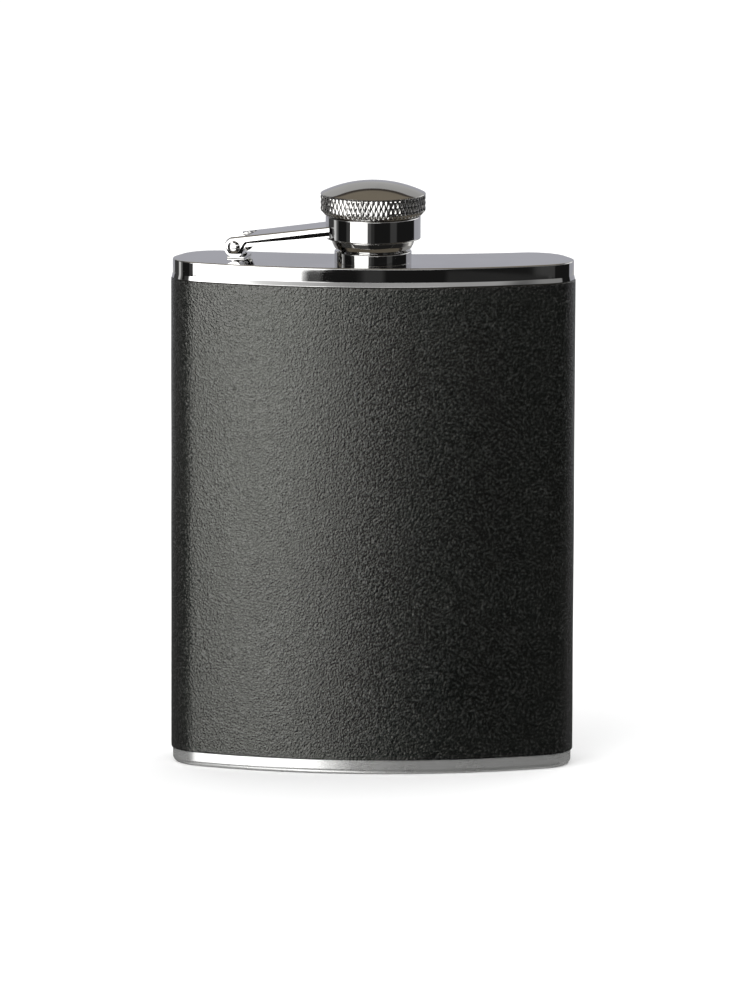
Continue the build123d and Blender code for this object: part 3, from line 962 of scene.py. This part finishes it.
# --- Studio: directions in degrees, greys of the reflection cards -------------------------------
CARD_RADIUS = 600.0
CARD_STRENGTH = 3.0
CARD_SPHERE_STEP = 4
CARD_SPHERE_SEGMENTS = 72
COOL_GREY = (0.146, 0.147, 0.161)
FLOOR_CARDS = [(-180, 0.10), (-60, 0.7), (-14, 0.008), (110, 0.10)]
DARK_CARDS = [(-180, 0.03), (-14, 0.006), (100, 0.05)]
UNDER_CARDS = [(-180, 0.03), (-52, 0.95), (-14, 0.03)]
SKIRT_CARDS = [
    (-180, 0.164), (-141, 0.091), (-108, 0.028), (-93, 0.28), (-84, 0.048), (-72, 0.003),
    (-49.3, 1.0), (-20, 0.03), (-15, 0.004), (-4, 0.016), (2, 0.004), (19, 0.01),
    (47.5, 0.022), (52, 0.003), (100, 0.02), (119, 0.16),
]
LOW_CARDS = [
    (-180, COOL_GREY), (-135, 0.02), (-108, 0.26), (-99, 0.05), (-92, 0.004), (-66, 0.02),
    (-55, 1.0), (-13, 0.035), (-4, 0.012), (4, 0.004), (43, 0.02), (60, 0.004), (119, COOL_GREY),
]
KNURL_CARDS = [
    (-180, COOL_GREY), (-135, 0.02), (-66, 1.0), (18, 0.02), (42, 0.10), (105, 0.6),
    (150, COOL_GREY),
]
HIGH_CARDS = [
    (-180, 0.165), (-140, 0.03), (-60, 0.34), (-24, 0.19), (-14, 0.14), (0, 0.155),
    (40, 0.13), (98, 0.5), (146, 0.165),
]
BACK_CARDS = [(-180, 0.165), (-130, 0.03), (-60, 0.9), (-14, 0.012), (110, 0.16)]
# Rows of cards from the floor up: (cards, softness of their sides, lift from which and by which
# they take over from the row below).
CARD_ZONES = [
    (FLOOR_CARDS, 0.02, None, None),
    (DARK_CARDS, 0.008, -58, -50),
    (UNDER_CARDS, 0.008, -27.5, -25.8),
    (SKIRT_CARDS, 0.0015, -16, -14),
    (LOW_CARDS, 0.003, -8.3, -8.22),
    (KNURL_CARDS, 0.01, 9.0, 9.8),
    (HIGH_CARDS, 0.02, 14.5, 15.3),
    (BACK_CARDS, 0.03, 21, 24),
]
BATTEN_LIFT = -10.0         # a black bar, thin up to BATTEN_START and thick from BATTEN_END
BATTEN_START, BATTEN_END = -33.1, -30.7
BATTEN_THIN, BATTEN_THICK = 0.3, 1.15
BATTEN_BLACK = (0.003, 0.003, 0.003)
CORNICE_LIFT = (37.5, 39)
CORNICE_BROWN = (0.022, 0.019, 0.017)
CEILING_LIFT = (41.5, 45)
CEILING_GREY = (0.083, 0.073, 0.058)

# --- Camera and lights, in metres and degrees --------------------------------------------------
CAMERA_DISTANCE = 2.0
CAMERA_LIFT = 9.95
CAMERA_AZIMUTH = 1.12
CAMERA_ROLL = 0.0035        # radians
CAMERA_HEIGHT = 0.065       # of the point that it stands round
CAMERA_AIM = Vector((0.00067, 0, 0.0639))
LENS = 304.3
FLOOR_SIZE = 30


def ramp(tree, value, stops):
    """A colour ramp over value, from (position, grey or colour) stops."""
    made = add(tree, "ShaderNodeValToRGB", {"Fac": value})
    elements = made.color_ramp.elements
    while len(elements) > 1:
        elements.remove(elements[-1])
    for index, (position, grey) in enumerate(stops):
        element = elements[0] if index == 0 else elements.new(position)
        element.position = position
        element.color = (*grey, 1) if isinstance(grey, tuple) else (grey, grey, grey, 1)
    return made.outputs["Color"]


def azimuth_stops(bands, softness):
    """Ramp stops from (azimuth in degrees where a band starts, its grey), over a full turn."""
    stops = []
    for start, grey in bands:
        position = (start + 180) / 360
        if stops:
            stops.append((max(position - softness, stops[-1][0]), stops[-1][1]))
        stops.append((min(position + softness, 1.0) if position > 0 else 0.0, grey))
    return stops


def card_colour(tree):
    """What is seen in each direction: rows of cards, a black batten, a cornice and a ceiling.

    Azimuth runs from 0 at the front, positive towards +X. Lift is the elevation as seen from the
    top plate.
    """
    spot = add(tree, "ShaderNodeSeparateXYZ", {0: add(tree, "ShaderNodeTexCoord").outputs["Object"]})
    x, y, z = spot.outputs
    azimuth = arithmetic(tree, "ARCTAN2", x, arithmetic(tree, "MULTIPLY", y, -1.0))
    turn = spread(tree, azimuth, -pi, pi, 0.0, 1.0)
    squares = [arithmetic(tree, "MULTIPLY", side, side) for side in (x, y)]
    flat = arithmetic(tree, "SQRT", arithmetic(tree, "ADD", *squares))
    lift = arithmetic(tree, "ARCTAN2", arithmetic(tree, "SUBTRACT", z, PLATE_Z * MM), flat)

    def above(below, upper, start, end):
        step = spread(tree, lift, radians(start), radians(end), 0.0, 1.0, smooth=True)
        return blend(tree, step, below, upper)

    colour = None
    for bands, softness, start, end in CARD_ZONES:
        cards = ramp(tree, turn, azimuth_stops(bands, softness))
        colour = above(colour, cards, start, end) if colour else cards
    wedge = [radians(edge) for edge in (BATTEN_START, BATTEN_END, BATTEN_THIN, BATTEN_THICK)]
    half = spread(tree, azimuth, *wedge)
    off = arithmetic(tree, "ABSOLUTE", arithmetic(tree, "SUBTRACT", lift, radians(BATTEN_LIFT)))
    batten = arithmetic(tree, "LESS_THAN", arithmetic(tree, "SUBTRACT", off, half), 0.0)
    colour = blend(tree, batten, colour, BATTEN_BLACK)
    colour = above(colour, CORNICE_BROWN, *CORNICE_LIFT)
    return above(colour, CEILING_GREY, *CEILING_LIFT)


def studio_shell():
    """Reflection cards all round, on a sphere that only polished surfaces can see."""
    material = bpy.data.materials.new("studio cards")
    material.use_nodes = True
    tree = material.node_tree
    tree.nodes.clear()
    inputs = {"Color": card_colour(tree), "Strength": CARD_STRENGTH}
    glow = add(tree, "ShaderNodeEmission", inputs).outputs[0]
    add(tree, "ShaderNodeOutputMaterial", {"Surface": glow})
    rings = []
    for elevation in even(-90, 90, CARD_SPHERE_STEP):
        if abs(elevation) > 89:
            rings.append([(0, 0, PLATE_Z + CARD_RADIUS * elevation / 90)])
            continue
        r, h = CARD_RADIUS * cos(radians(elevation)), CARD_RADIUS * sin(radians(elevation))
        turns = [tau * i / CARD_SPHERE_SEGMENTS for i in range(CARD_SPHERE_SEGMENTS)]
        rings.append([(r * cos(turn), r * sin(turn), PLATE_Z + h) for turn in turns])
    mesh = mesh_from("studio_cards", *skin(rings, closed=False))
    mesh.materials.append(material)
    cards = object_from("studio_cards", mesh)
    cards.visible_camera = False
    cards.visible_diffuse = False
    cards.visible_shadow = False
    cards.visible_transmission = False


def floor():
    """A plain pale floor that runs back out of sight."""
    material = principled(
        "pale floor", Roughness=1.0, Specular_IOR_Level=0.0, Base_Color=(0.97, 0.97, 0.97, 1))[0]
    bpy.ops.mesh.primitive_plane_add(size=FLOOR_SIZE)
    plane = bpy.context.object
    plane.name = "floor"
    plane.data.materials.append(material)
    plane.visible_glossy = False


def softbox(name, place_m, size, power):
    """A square soft light that looks at the middle of the flask."""
    light = bpy.data.lights.new(name, "AREA")
    light.shape = "SQUARE"
    light.size = size
    light.energy = power
    lamp = object_from(name, light)
    lamp.location = place_m
    aim = Vector((0, 0, PLATE_Z * MM / 2)) - lamp.location
    lamp.rotation_euler = aim.to_track_quat("-Z", "Y").to_euler()
    lamp.visible_glossy = False
    lamp.visible_camera = False


def camera():
    """A long lens, slightly above the flask and a touch to its right."""
    elevation, azimuth = radians(CAMERA_LIFT), radians(CAMERA_AZIMUTH)
    away = Vector((sin(azimuth) * cos(elevation), -cos(azimuth) * cos(elevation), sin(elevation)))
    lens = bpy.data.cameras.new("camera")
    lens.sensor_width = 36
    lens.lens = LENS
    lens.clip_start = 0.05
    lens.clip_end = 100
    viewer = object_from("camera", lens)
    viewer.location = Vector((CAMERA_AIM.x, 0, CAMERA_HEIGHT)) + away * CAMERA_DISTANCE
    look = (CAMERA_AIM - viewer.location).to_track_quat("-Z", "Y").to_matrix()
    viewer.rotation_euler = (look @ Matrix.Rotation(CAMERA_ROLL, 3, "Z")).to_euler()
    bpy.context.scene.camera = viewer


floor()
studio_shell()
softbox("key", place_m=(-0.9, -1.1, 1.2), size=1.6, power=14)
softbox("fill", place_m=(1.2, 0.9, 1.4), size=1.8, power=8)
camera()

world = bpy.data.worlds.new("studio")
world.use_nodes = True
world.node_tree.nodes["Background"].inputs["Color"].default_value = (1, 1, 1, 1)
world.node_tree.nodes["Background"].inputs["Strength"].default_value = 1.0
bpy.context.scene.world = world
bpy.context.scene.view_settings.view_transform = "Standard"
